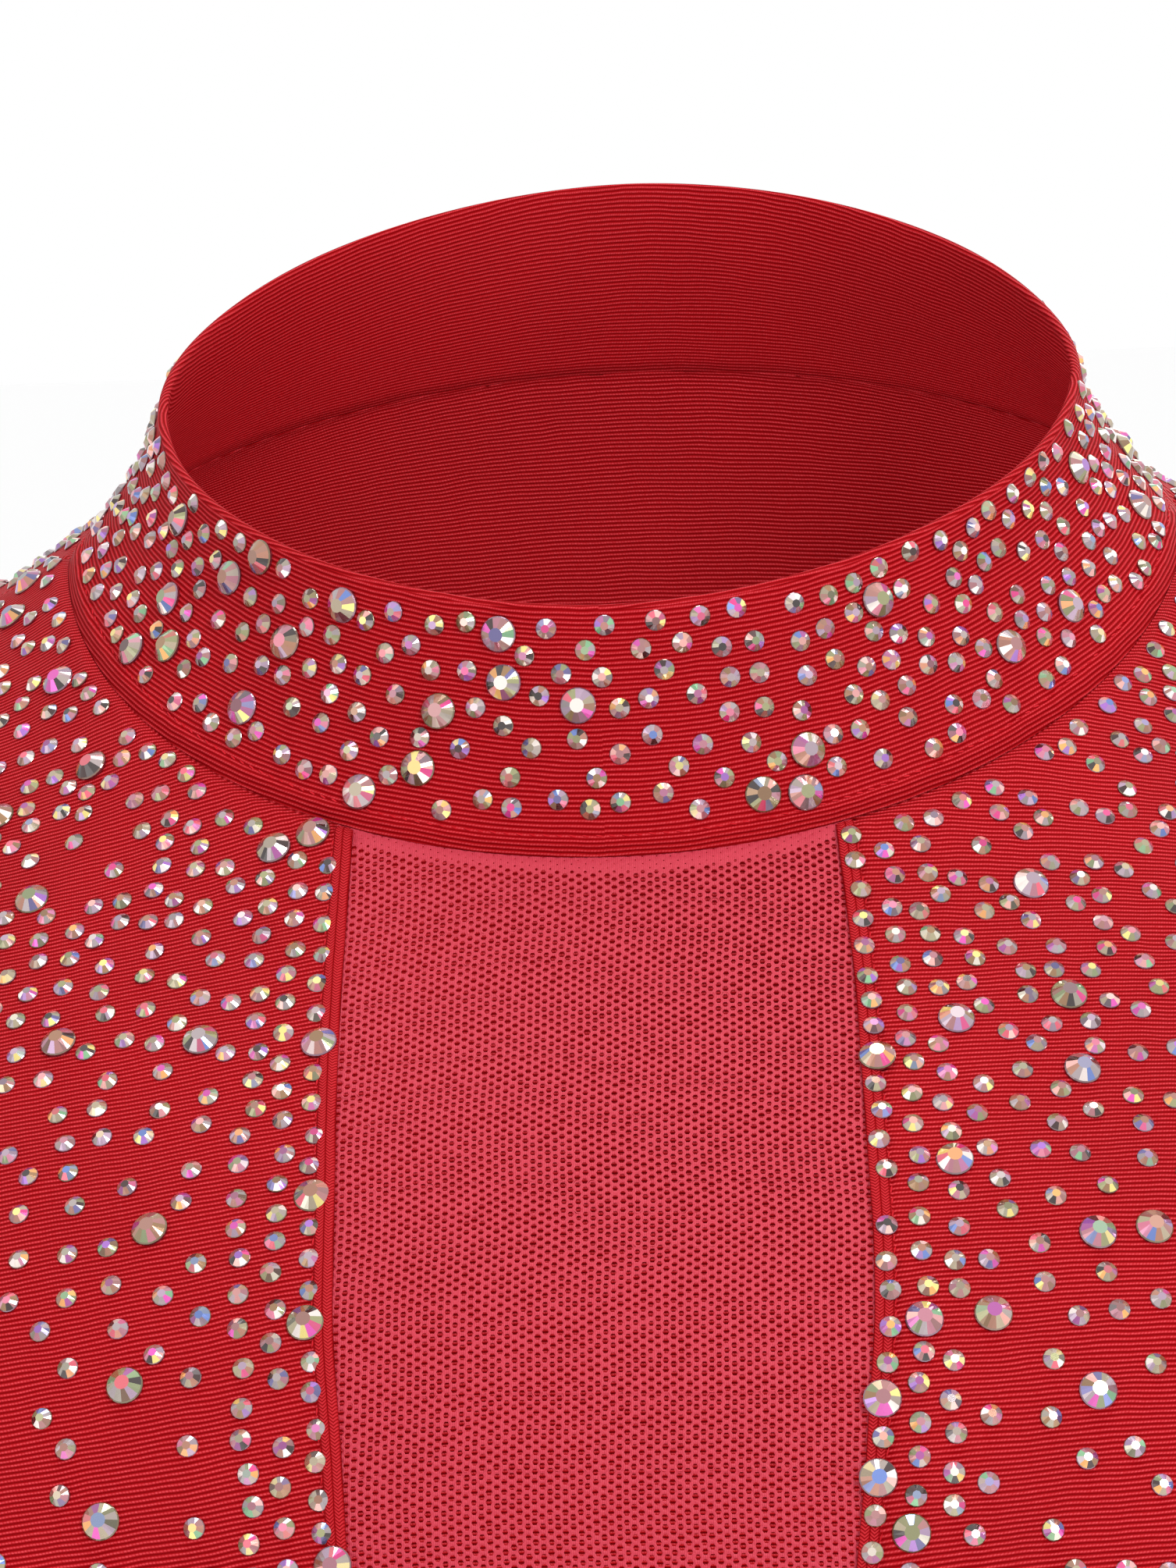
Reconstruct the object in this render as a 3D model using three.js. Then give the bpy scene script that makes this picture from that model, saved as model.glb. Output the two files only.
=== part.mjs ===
import * as THREE from 'three';

// Latin dance bodysuit with a stand collar, as it hangs on a wearer.
// Millimetres, +Z up, the front towards -Y, the origin at the centre of the neck base.

const clothWall = 1.2;
const netWall = 1.0;
const collarWall = 1.3;
const seamGap = 0.3;

// The figure's sections from the neck seam (0) to the crotch seam (17). Each one is a closed curve
// through a front point, a side point and a back point, half as wide as stated and with its own roundness.
const shoulderEnd = 5;
const armpit = 8;
const legTop = 13;
const crotch = 17;
const sections = [
  { wide: 74.3, sideY: 0, sideZ: -7.2, frontY: -66, frontZ: -41, backY: 64, backZ: 12, round: 2.0 },
  { wide: 86, sideY: 6, sideZ: -13.6, frontY: -80, frontZ: -55.8, backY: 68, backZ: 2, round: 2.02 },
  { wide: 104, sideY: 9, sideZ: -22.8, frontY: -97, frontZ: -71.7, backY: 73, backZ: -13, round: 2.06 },
  { wide: 126, sideY: 10, sideZ: -33, frontY: -110.5, frontZ: -86.2, backY: 77, backZ: -33, round: 2.1 },
  { wide: 147, sideY: 10, sideZ: -43.5, frontY: -120, frontZ: -102, backY: 81, backZ: -57, round: 2.14 },
  { wide: 165, sideY: 9, sideZ: -53, frontY: -126, frontZ: -120, backY: 84, backZ: -83, round: 2.18 },
  { wide: 170, sideY: 5, sideZ: -79, frontY: -130, frontZ: -139, backY: 86, backZ: -110, round: 2.2 },
  { wide: 166, sideY: -1, sideZ: -121, frontY: -132, frontZ: -159, backY: 86, backZ: -138, round: 2.2 },
  { wide: 153, sideY: -9, sideZ: -165, frontY: -132, frontZ: -180, backY: 84, backZ: -168, round: 2.2 },
  { wide: 146, sideY: -16, sideZ: -212, frontY: -130, frontZ: -214, backY: 79, backZ: -212, round: 2.2 },
  { wide: 132, sideY: -20, sideZ: -285, frontY: -119, frontZ: -287, backY: 69, backZ: -285, round: 2.15 },
  { wide: 118, sideY: -22, sideZ: -385, frontY: -107, frontZ: -386, backY: 60, backZ: -384, round: 2.1 },
  { wide: 139, sideY: -18, sideZ: -470, frontY: -112, frontZ: -472, backY: 73, backZ: -470, round: 2.12 },
  { wide: 162, sideY: -12, sideZ: -548, frontY: -115, frontZ: -546, backY: 91, backZ: -542, round: 2.15 },
  { wide: 168, sideY: -10, sideZ: -600, frontY: -107, frontZ: -602, backY: 95, backZ: -602, round: 2.15 },
  { wide: 168, sideY: -8, sideZ: -642, frontY: -86, frontZ: -648, backY: 81, backZ: -652, round: 2.15 },
  { wide: 165, sideY: -6, sideZ: -672, frontY: -50, frontZ: -681, backY: 46, backZ: -684, round: 2.15 },
  { wide: 160, sideY: -4, sideZ: -692, frontY: -2, frontZ: -694, backY: -2, backZ: -694, round: 2.15 },
];
const ridgeSoftness = 0.12;

// Soft forms on the sections: how far they stand out, where, and how wide they are.
const bust = { rise: 22, x: 80, z: -205, spreadX: 38, spreadZ: 42 };
const seat = { rise: 12, x: 68, z: -590, spreadX: 45, spreadZ: 50 };

// The top edge of the collar, an even oval in a plane that rises towards the back.
const collarTop = { halfWidth: 60.6, halfDepth: 57, centreY: -5.6, frontZ: -10.5, rise: 0.431, round: 1.86 };
const collarFlare = 1.7;

// The net at stations down the centre front: its half width and where its middle lies as it is sewn.
const netEnd = 10.4;
const netEdge = [
  { station: 0, half: 29.8, middle: -1.7 },
  { station: 1.5, half: 31.2, middle: -0.6 },
  { station: 3, half: 31.4, middle: 0.5 },
  { station: 4, half: 30.1, middle: 0.6 },
  { station: 5, half: 28.4, middle: 0.2 },
  { station: 7, half: 23.6, middle: 0 },
  { station: 9, half: 12.4, middle: 0 },
  { station: netEnd, half: 1.6, middle: 0 },
];

const armholeFront = 34;
const armholeBack = 29;
const crotchHalfWidth = 33;

const panelColumns = 14;
const backColumns = 24;
const netColumns = 8;
const collarColumns = 90;

const cloth = new THREE.MeshStandardMaterial({ color: 0xc01524, roughness: 0.6, metalness: 0 });
const net = new THREE.MeshStandardMaterial({ color: 0xd0304a, roughness: 0.7, metalness: 0 });

// A smooth curve through a column of values that never swings past them.
function curve(xs, ys) {
  const n = xs.length;
  const slopes = [];
  for (let i = 0; i < n - 1; i++) slopes.push((ys[i + 1] - ys[i]) / (xs[i + 1] - xs[i]));
  const tangents = ys.map((y, i) => {
    if (i === 0) return slopes[0];
    if (i === n - 1) return slopes[n - 2];
    const a = slopes[i - 1];
    const b = slopes[i];
    return a * b <= 0 ? 0 : (2 * a * b) / (a + b);
  });
  return (x) => {
    const at = Math.min(Math.max(x, xs[0]), xs[n - 1]);
    let i = 0;
    while (i < n - 2 && at > xs[i + 1]) i++;
    const h = xs[i + 1] - xs[i];
    const t = (at - xs[i]) / h;
    const a = ys[i] * (1 + 2 * t) * (1 - t) ** 2 + tangents[i] * h * t * (1 - t) ** 2;
    const b = ys[i + 1] * t * t * (3 - 2 * t) + tangents[i + 1] * h * t * t * (t - 1);
    return a + b;
  };
}

const stations = sections.map((row, i) => i);
const figure = {};
for (const name of Object.keys(sections[0])) {
  figure[name] = curve(stations, sections.map((row) => row[name]));
}
const netStations = netEdge.map((row) => row.station);
const netHalf = curve(netStations, netEdge.map((row) => row.half));
const netMiddle = curve(netStations, netEdge.map((row) => row.middle));

function hill(form, x, z) {
  const across = (Math.abs(x) - form.x) / form.spreadX;
  const down = (z - form.z) / form.spreadZ;
  return form.rise * Math.exp(-0.5 * (across * across + down * down));
}

function ovalRadius(angle, round) {
  const s = Math.abs(Math.sin(angle)) ** round;
  const c = Math.abs(Math.cos(angle)) ** round;
  return (s + c) ** (-1 / round);
}

function softShare(c) {
  const k = ridgeSoftness;
  return (Math.sqrt(c * c + k * k) - k) / (Math.sqrt(1 + k * k) - k);
}

// A point of the figure: angle 0 at the centre front, a quarter turn at the left side.
function bodyPoint(angle, station) {
  const radius = ovalRadius(angle, figure.round(station));
  const x = figure.wide(station) * radius * Math.sin(angle);
  const c = radius * Math.cos(angle);
  const sideY = figure.sideY(station);
  const sideZ = figure.sideZ(station);
  const endY = c > 0 ? figure.frontY(station) : figure.backY(station);
  const endZ = c > 0 ? figure.frontZ(station) : figure.backZ(station);
  const z = sideZ + (endZ - sideZ) * softShare(c);
  let y = sideY + (endY - sideY) * Math.abs(c);
  y += c > 0 ? -hill(bust, x, z) * Math.min(1, 3 * c) : hill(seat, x, z) * Math.min(1, -3 * c);
  return new THREE.Vector3(x, y, z);
}

function outward(point, angle, station) {
  const h = 1e-3;
  const s0 = Math.max(station - h, 0);
  const along = point(angle, station + h).sub(point(angle, s0));
  const across = point(angle + h, station).sub(point(angle - h, station));
  return along.cross(across).normalize();
}

// The angle whose point lies at x on the front of a section.
function angleAt(x, station) {
  if (x < 0) return -angleAt(-x, station);
  let low = 0;
  let high = Math.PI / 2;
  for (let i = 0; i < 40; i++) {
    const middle = (low + high) / 2;
    if (bodyPoint(middle, station).x < x) low = middle;
    else high = middle;
  }
  return low;
}

function angleStep(angle, station, distance) {
  const h = 1e-3;
  const run = bodyPoint(angle + h, station).distanceTo(bodyPoint(angle - h, station)) / (2 * h);
  return distance / run;
}

function stationStep(angle, station, distance) {
  const h = 1e-3;
  return (distance * h) / bodyPoint(angle, station + h).distanceTo(bodyPoint(angle, station));
}

// How far the side edge of a panel lies from the side seam, as an angle.
function armholeBite(station, degrees) {
  if (station <= shoulderEnd || station >= armpit) return 0;
  const t = Math.abs((2 * (station - shoulderEnd)) / (armpit - shoulderEnd) - 1);
  return THREE.MathUtils.degToRad(degrees) * (1 - t ** 2.2) ** (1 / 2.2);
}

function legEdge(station, share) {
  const w = Math.min(1, (station - legTop) / (crotch - legTop));
  const x = crotchHalfWidth + (figure.wide(station) - crotchHalfWidth) * share(w);
  return angleAt(Math.min(x, figure.wide(station)), station);
}

const frontLegShare = (w) => (1 - w ** 0.66) ** 1.15;
const backLegShare = (w) => (1 - w ** 0.8) * (1 + 0.25 * w);

function frontSide(station) {
  if (station > legTop) return legEdge(station, frontLegShare);
  const angle = Math.PI / 2 - armholeBite(station, armholeFront);
  return angle - angleStep(angle, station, seamGap / 2);
}

function backSide(station) {
  if (station > legTop) return Math.PI - legEdge(station, backLegShare);
  const angle = Math.PI / 2 + armholeBite(station, armholeBack);
  return angle + angleStep(angle, station, seamGap / 2);
}

// Below the net the two fronts meet at the centre seam. The side is 1 for the left, -1 for the right.
function frontCentre(station, side) {
  const beside = netHalf(station) + side * netMiddle(station) + seamGap;
  const below = Math.max(0, 1 - (station - netEnd) / 0.06);
  const x = station < netEnd ? beside : seamGap / 2 + (beside - seamGap / 2) * below;
  return angleAt(x, station);
}

// Shares a row out between its edges. Where the outer edge is cut back, the inner columns stay put.
function shareOut(from, to, full, across) {
  const cut = full - to;
  const power = cut < 1e-6 ? 4 : Math.min(4, Math.max(1, (0.85 * (full - from)) / cut));
  return from + (full - from) * across - cut * across ** power;
}

function spread(from, to, count, lean) {
  const list = [];
  for (let i = 0; i < count; i++) {
    const t = i / count;
    const eased = lean === 'both' ? (1 - Math.cos(Math.PI * t)) / 2 : lean === 'start' ? t ** 1.6 : t;
    list.push(from + (to - from) * eased);
  }
  return list;
}

const panelStations = [
  ...spread(0, shoulderEnd, 11),
  ...spread(shoulderEnd, armpit, 12, 'both'),
  ...spread(armpit, netEnd, 8),
  ...spread(netEnd, netEnd + 0.06, 1),
  ...spread(netEnd + 0.06, legTop, 12),
  ...spread(legTop, crotch, 11, 'start'),
  crotch,
];

// Panels stop half a gap short of the neck seam and the crotch seam.
function seamedStation(angle, station) {
  if (station === 0) return stationStep(angle, 0, seamGap / 2);
  if (station === crotch) return crotch - stationStep(angle, crotch - 0.01, seamGap / 2);
  return station;
}

// Adds two triangles for a four-sided face.
function addFace(indices, a, b, c, d) {
  indices.push(a, b, c, a, c, d);
}

function closedMesh(name, points, indices, material) {
  let volume = 0;
  const at = (i) => points[indices[i]];
  for (let i = 0; i < indices.length; i += 3) {
    volume += at(i).dot(at(i + 1).clone().cross(at(i + 2)));
  }
  const order = volume < 0 ? indices.slice().reverse() : indices;
  const geometry = new THREE.BufferGeometry().setFromPoints(points);
  geometry.setIndex(order);
  geometry.computeVertexNormals();
  const mesh = new THREE.Mesh(geometry, material);
  mesh.name = name;
  return mesh;
}

// A panel of cloth: rows of points on the figure with their inner side one wall thickness within.
function panel(name, rows, columns, place, wall, material) {
  const points = [];
  for (const side of [0, 1]) {
    for (let i = 0; i < rows; i++) {
      for (let j = 0; j <= columns; j++) {
        const [angle, station] = place(i, j / columns);
        const normal = outward(bodyPoint, angle, station);
        points.push(bodyPoint(angle, station).addScaledVector(normal, -wall * side));
      }
    }
  }
  const width = columns + 1;
  const inner = rows * width;
  const indices = [];
  for (let i = 0; i < rows - 1; i++) {
    for (let j = 0; j < columns; j++) {
      const a = i * width + j;
      addFace(indices, a, a + 1, a + width + 1, a + width);
      addFace(indices, inner + a, inner + a + width, inner + a + width + 1, inner + a + 1);
    }
  }
  const rim = [];
  for (let j = 0; j < columns; j++) rim.push(j);
  for (let i = 0; i < rows - 1; i++) rim.push(i * width + columns);
  for (let j = columns; j > 0; j--) rim.push((rows - 1) * width + j);
  for (let i = rows - 1; i > 0; i--) rim.push(i * width);
  rim.forEach((a, k) => {
    const b = rim[(k + 1) % rim.length];
    addFace(indices, a, inner + a, inner + b, b);
  });
  return closedMesh(name, points, indices, material);
}

function frontPanel(name, sign) {
  const place = (i, across) => {
    const station = panelStations[i];
    const from = frontCentre(station, sign);
    const angle = shareOut(from, frontSide(station), Math.PI / 2, across);
    return [sign * angle, seamedStation(angle, station)];
  };
  return panel(name, panelStations.length, panelColumns, place, clothWall, cloth);
}

function backPanel() {
  const place = (i, across) => {
    const station = panelStations[i];
    const half = shareOut(0, Math.PI - backSide(station), Math.PI / 2, Math.abs(2 * across - 1));
    const angle = Math.PI + (across < 0.5 ? -half : half);
    return [angle, seamedStation(angle, station)];
  };
  return panel('back', panelStations.length, backColumns, place, clothWall, cloth);
}

function netPanel() {
  const rows = panelStations.filter((station) => station < netEnd);
  rows.push(netEnd - 0.01);
  const place = (i, across) => {
    const right = angleAt(netMiddle(rows[i]) - netHalf(rows[i]), rows[i]);
    const left = angleAt(netMiddle(rows[i]) + netHalf(rows[i]), rows[i]);
    const angle = right + (left - right) * across;
    return [angle, seamedStation(angle, rows[i])];
  };
  return panel('net_centre', rows.length, netColumns, place, netWall, net);
}

function collarPoint(angle, height) {
  const seam = bodyPoint(angle, 0);
  const radius = ovalRadius(angle, collarTop.round);
  const c = radius * Math.cos(angle);
  const topX = collarTop.halfWidth * radius * Math.sin(angle);
  const topY = collarTop.centreY - collarTop.halfDepth * c;
  const topZ = collarTop.frontZ + collarTop.halfDepth * (1 - c) * collarTop.rise;
  const flare = (1 - height) ** collarFlare;
  return new THREE.Vector3(
    topX + (seam.x - topX) * flare,
    topY + (seam.y - topY) * flare,
    seam.z + (topZ - seam.z) * height,
  );
}

// The band is folded along its top edge, so its section ends there in a half round.
function collar() {
  const rise = (angle) => collarPoint(angle, 1).distanceTo(collarPoint(angle, 0));
  const heights = [0, 0.12, 0.26, 0.42, 0.6, 0.8, 1];
  const points = [];
  for (let k = 0; k < collarColumns; k++) {
    const angle = (2 * Math.PI * k) / collarColumns;
    const foot = seamGap / rise(angle);
    const head = 1 - collarWall / 2 / rise(angle);
    const normalAt = (height) => outward((a, h) => collarPoint(a, 1 - h), angle, 1 - height);
    const outer = heights.map((height) => foot + (head - foot) * height);
    for (const height of outer) points.push(collarPoint(angle, height));
    const normal = normalAt(head);
    const middle = collarPoint(angle, head).addScaledVector(normal, -collarWall / 2);
    const up = collarPoint(angle, head).sub(collarPoint(angle, head - 0.02)).normalize();
    for (const turn of [45, 90, 135]) {
      const t = THREE.MathUtils.degToRad(turn);
      const rim = middle.clone().addScaledVector(normal, (Math.cos(t) * collarWall) / 2);
      points.push(rim.addScaledVector(up, (Math.sin(t) * collarWall) / 2));
    }
    for (const height of outer.slice().reverse()) {
      points.push(collarPoint(angle, height).addScaledVector(normalAt(height), -collarWall));
    }
  }
  const ring = 2 * heights.length + 3;
  const indices = [];
  for (let k = 0; k < collarColumns; k++) {
    const next = ((k + 1) % collarColumns) * ring;
    for (let j = 0; j < ring; j++) {
      const above = (j + 1) % ring;
      addFace(indices, k * ring + j, next + j, next + above, k * ring + above);
    }
  }
  return closedMesh('collar', points, indices, cloth);
}

const group = new THREE.Group();
group.name = 'latin_dance_bodysuit';
group.add(collar());
group.add(frontPanel('front_left', 1));
group.add(frontPanel('front_right', -1));
group.add(netPanel());
group.add(backPanel());

export default group;
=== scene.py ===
import itertools
import math
import bpy
import numpy as np
from mathutils import Matrix, Vector


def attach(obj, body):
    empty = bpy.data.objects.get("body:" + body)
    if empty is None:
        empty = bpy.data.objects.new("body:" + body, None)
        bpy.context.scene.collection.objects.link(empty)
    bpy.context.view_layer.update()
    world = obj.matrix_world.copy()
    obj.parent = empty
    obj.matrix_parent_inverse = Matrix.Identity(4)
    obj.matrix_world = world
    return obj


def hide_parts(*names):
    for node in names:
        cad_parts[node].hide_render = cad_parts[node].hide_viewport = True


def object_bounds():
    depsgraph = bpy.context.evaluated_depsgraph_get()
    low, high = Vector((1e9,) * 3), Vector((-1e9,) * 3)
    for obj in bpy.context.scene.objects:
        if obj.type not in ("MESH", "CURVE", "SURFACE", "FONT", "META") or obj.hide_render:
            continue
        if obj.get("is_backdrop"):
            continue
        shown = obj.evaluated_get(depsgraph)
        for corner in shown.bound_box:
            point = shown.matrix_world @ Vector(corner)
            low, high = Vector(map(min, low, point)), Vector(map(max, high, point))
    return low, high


# Latin dance bodysuit: ribbed knit panels, a folded stand collar, a sheer net front and glued stones.
# Shapes are worked out in millimetres and go into the meshes in metres.
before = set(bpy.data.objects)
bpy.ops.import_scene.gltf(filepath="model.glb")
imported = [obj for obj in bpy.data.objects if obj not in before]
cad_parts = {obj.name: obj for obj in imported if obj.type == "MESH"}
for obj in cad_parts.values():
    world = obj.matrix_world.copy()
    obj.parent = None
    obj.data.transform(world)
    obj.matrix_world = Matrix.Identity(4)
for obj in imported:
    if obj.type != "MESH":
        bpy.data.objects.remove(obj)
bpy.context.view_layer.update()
rng = np.random.default_rng(41)
print("frame loaded:", ", ".join(sorted(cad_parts)))

# The figure's sections from the neck seam (0) to the crotch seam (17), as in the solids
stationNames = dict(shoulderEnd=5, armpit=8, legTop=13, crotch=17)
sectionColumns = ("wide", "sideY", "sideZ", "frontY", "frontZ", "backY", "backZ", "round")
sectionRows = np.array([
    (74.3, 0, -7.2, -66, -41, 64, 12, 2.0),
    (86, 6, -13.6, -80, -55.8, 68, 2, 2.02),
    (104, 9, -22.8, -97, -71.7, 73, -13, 2.06),
    (126, 10, -33, -110.5, -86.2, 77, -33, 2.1),
    (147, 10, -43.5, -120, -102, 81, -57, 2.14),
    (165, 9, -53, -126, -120, 84, -83, 2.18),
    (170, 5, -79, -130, -139, 86, -110, 2.2),
    (166, -1, -121, -132, -159, 86, -138, 2.2),
    (153, -9, -165, -132, -180, 84, -168, 2.2),
    (146, -16, -212, -130, -214, 79, -212, 2.2),
    (132, -20, -285, -119, -287, 69, -285, 2.15),
    (118, -22, -385, -107, -386, 60, -384, 2.1),
    (139, -18, -470, -112, -472, 73, -470, 2.12),
    (162, -12, -548, -115, -546, 91, -542, 2.15),
    (168, -10, -600, -107, -602, 95, -602, 2.15),
    (168, -8, -642, -86, -648, 81, -652, 2.15),
    (165, -6, -672, -50, -681, 46, -684, 2.15),
    (160, -4, -692, -2, -694, -2, -694, 2.15),
])
forms = {
    "bust": dict(rise=22, x=80, z=-205, spreadX=38, spreadZ=42),
    "seat": dict(rise=12, x=68, z=-590, spreadX=45, spreadZ=50),
}
ridgeSoftness = 0.12


# A curve through the values that never swings past them: cubic pieces with harmonic mean slopes
def smoothCurve(xs, ys):
    xs, ys = np.asarray(xs, float), np.asarray(ys, float)
    slopes = np.diff(ys) / np.diff(xs)
    product = slopes[:-1] * slopes[1:]
    total = np.where(product > 0, slopes[:-1] + slopes[1:], 1)
    inner = np.where(product > 0, 2 * product / total, 0)
    tangents = np.concatenate([slopes[:1], inner, slopes[-1:]])

    def at(x):
        x = np.clip(x, xs[0], xs[-1])
        i = np.clip(np.searchsorted(xs, x, side="right") - 1, 0, len(xs) - 2)
        h = xs[i + 1] - xs[i]
        t = (x - xs[i]) / h
        start = ys[i] * (1 + 2 * t) * (1 - t) ** 2 + tangents[i] * h * t * (1 - t) ** 2
        end = ys[i + 1] * t * t * (3 - 2 * t) + tangents[i + 1] * h * t * t * (t - 1)
        return start + end

    return at


stationList = np.arange(len(sectionRows))
figure = {n: smoothCurve(stationList, sectionRows[:, k]) for k, n in enumerate(sectionColumns)}


# rise * exp(-half the squared distance), with the distance counted in the form's own spreads
def hill(form, x, z):
    across = (np.abs(x) - form["x"]) / form["spreadX"]
    down = (z - form["z"]) / form["spreadZ"]
    return form["rise"] * np.exp(-0.5 * (across ** 2 + down ** 2))


# (|sin|^n + |cos|^n)^(-1/n), the radius of a rounded square of roundness n
def ovalRadius(angle, roundness):
    return (np.abs(np.sin(angle)) ** roundness + np.abs(np.cos(angle)) ** roundness) ** (-1 / roundness)


# A point of the figure: angle 0 at the centre front, a quarter turn at the left side
def bodyPoint(angle, station):
    angle, station = np.broadcast_arrays(np.asarray(angle, float), np.asarray(station, float))
    f = {name: curve(station) for name, curve in figure.items()}
    radius = ovalRadius(angle, f["round"])
    x = f["wide"] * radius * np.sin(angle)
    c = radius * np.cos(angle)
    k = ridgeSoftness
    share = (np.sqrt(c * c + k * k) - k) / (math.sqrt(1 + k * k) - k)
    z = f["sideZ"] + (np.where(c > 0, f["frontZ"], f["backZ"]) - f["sideZ"]) * share
    y = f["sideY"] + (np.where(c > 0, f["frontY"], f["backY"]) - f["sideY"]) * np.abs(c)
    y = y - hill(forms["bust"], x, z) * np.clip(3 * c, 0, 1)
    y = y + hill(forms["seat"], x, z) * np.clip(-3 * c, 0, 1)
    return np.stack([x, y, z], -1)


def unit(v):
    return v / np.maximum(np.linalg.norm(v, axis=-1, keepdims=True), 1e-9)


# The length run from the start of a line of points, or of each line of a grid, to each point
def arcLength(line, axis=0):
    steps = np.linalg.norm(np.diff(line, axis=axis), axis=-1)
    return np.insert(np.cumsum(steps, axis), 0, 0, axis)


def gridPairs(rows, columns):
    return (g.ravel() for g in np.meshgrid(rows, columns, indexing="ij"))


slopeStep = 1e-3


# The outward direction of a surface of (angle, station), as the cross product of its two differences
# over a small step. Stations stay between 0 and the last one.
def outwardArea(surface, angle, station, last=math.inf):
    h = slopeStep
    along = surface(angle, np.minimum(station + h, last)) - surface(angle, np.maximum(station - h, 0))
    across = surface(angle + h, station) - surface(angle - h, station)
    return np.cross(along, across)


def outward(surface, angle, station):
    return unit(outwardArea(surface, angle, station))


# The angle at which a section has this x: the superellipse solved for its angle
def angleAt(x, station):
    n = figure["round"](station)
    share = np.clip(x / figure["wide"](station), -1, 1)
    return np.arctan2(share, (1 - np.abs(share) ** n) ** (1 / n))


def angleSpeed(angle, station):
    h = slopeStep
    return np.linalg.norm(bodyPoint(angle + h, station) - bodyPoint(angle - h, station), axis=-1) / (2 * h)


# How the pieces are cut, as in the solids
cut = dict(netEnd=10.4, armholeFront=34, armholeBack=29, crotchHalfWidth=33)
netStations = (0, 1.5, 3, 4, 5, 7, 9, cut["netEnd"])
netHalf = smoothCurve(netStations, (29.8, 31.2, 31.4, 30.1, 28.4, 23.6, 12.4, 1.6))
netMiddle = smoothCurve(netStations, (-1.7, -0.6, 0.5, 0.6, 0.2, 0, 0, 0))


# The armhole's edge: a rounded bite of the stated depth between shoulder end and armpit
def armholeBite(station, degrees):
    t = np.abs(2 * (station - stationNames["shoulderEnd"]) / 3 - 1)
    return np.radians(degrees) * np.clip(1 - t ** 2.2, 0, 1) ** (1 / 2.2)


def legEdge(station, share):
    w = np.clip((station - stationNames["legTop"]) / 4, 0, 1)
    wide = figure["wide"](station)
    x = cut["crotchHalfWidth"] + (wide - cut["crotchHalfWidth"]) * share(w)
    return np.where(station > stationNames["legTop"], angleAt(np.minimum(x, wide), station), math.pi / 2)


def frontSide(station):
    angle = math.pi / 2 - armholeBite(station, cut["armholeFront"])
    leg = legEdge(station, lambda w: (1 - w ** 0.66) ** 1.15)
    return np.where(station > stationNames["legTop"], np.minimum(leg, angle), angle)


def backSide(station):
    angle = math.pi / 2 + armholeBite(station, cut["armholeBack"])
    leg = math.pi - legEdge(station, lambda w: (1 - w ** 0.8) * (1 + 0.25 * w))
    return np.where(station > stationNames["legTop"], np.maximum(leg, angle), angle)


# The front panel's inner edge: beside the net, then at the centre seam
def frontCentre(station, side):
    beside = netHalf(station) + side * netMiddle(station)
    below = np.clip(1 - (station - cut["netEnd"]) / 0.06, 0, 1)
    x = np.where(station < cut["netEnd"], beside, beside * below)
    return angleAt(x, station)


# The collar between the neck seam (height 0) and its folded top edge (height 1)
collarSizes = dict(
    halfWidth=60.6, halfDepth=57, centreY=-5.6, frontZ=-10.5, rise=0.431, round=1.86, flare=1.7, wall=1.3,
)


def collarPoint(angle, height):
    s = collarSizes
    seam = bodyPoint(angle, np.zeros_like(np.asarray(angle, float)))
    radius = ovalRadius(angle, s["round"])
    c = radius * np.cos(angle)
    top = np.stack([
        s["halfWidth"] * radius * np.sin(angle),
        s["centreY"] - s["halfDepth"] * c,
        s["frontZ"] + s["halfDepth"] * (1 - c) * s["rise"],
    ], -1)
    flare = ((1 - height) ** s["flare"])[..., None]
    point = top + (seam - top) * flare
    point[..., 2] = seam[..., 2] + (top[..., 2] - seam[..., 2]) * height
    return point


def collarNormal(angle, height):
    return unit(-outwardArea(collarPoint, angle, height, 1))


# A length of cloth along the grain: straight ribs of the flat cut are where this is even. Planes that
# hinge slowly from the slope of the upper chest or back to the level meet each point once.
def grainTable(front):
    stations = np.linspace(0, stationNames["crotch"], 800)
    line = bodyPoint(np.full(800, 0.0 if front else math.pi), stations)
    run = arcLength(line)
    slopes = (38, 44, 70, 89, 90) if front else (62, 72, 84, 90, 90)
    lean = np.radians(smoothCurve((0, 60, 150, 300, 700), slopes)(run))
    side = -1 if front else 1
    return run, line, np.stack([0 * lean, side * np.cos(lean), -np.sin(lean)], -1)


grainTables = {True: grainTable(True), False: grainTable(False)}


# Big tables are worked out a few thousand points at a time, to save memory
def inParts(points, size, work):
    flat = points.reshape(-1, 3)
    parts = [work(flat[start:start + size]) for start in range(0, len(flat), size)]
    return np.concatenate(parts).reshape(points.shape[:-1])


def grainRun(points, front):
    run, line, normal = grainTables[front]
    offset = (line * normal).sum(1)

    def work(p):
        beyond = p @ normal.T - offset  # positive while the point lies past that plane
        last = np.clip((beyond > 0).sum(1), 1, len(run) - 1)
        rows = np.arange(len(p))
        a, b = beyond[rows, last - 1], beyond[rows, last]
        t = np.clip(a / np.where(np.abs(a - b) < 1e-9, 1, a - b), -400, 1)
        return run[last - 1] + (run[last] - run[last - 1]) * t

    return inParts(points, 20000, work)


def edgeDistance(points, edge):
    return inParts(points, 8000, lambda p: np.sqrt(((p[:, None, :] - edge[None]) ** 2).sum(-1).min(1)))


def smoothStep(low, high, x):
    t = np.clip((x - low) / (high - low), 0, 1)
    return t * t * (3 - 2 * t)


# Gives every piece its body and material, and hides the frame nodes it stands for
def finishPiece(piece, material, nodes=()):
    piece.data.materials.append(material)
    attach(piece, "root")
    if nodes:
        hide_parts(*nodes)
    return piece


def addObject(name, data):
    new = bpy.data.objects.new(name, data)
    bpy.context.scene.collection.objects.link(new)
    return new


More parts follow.
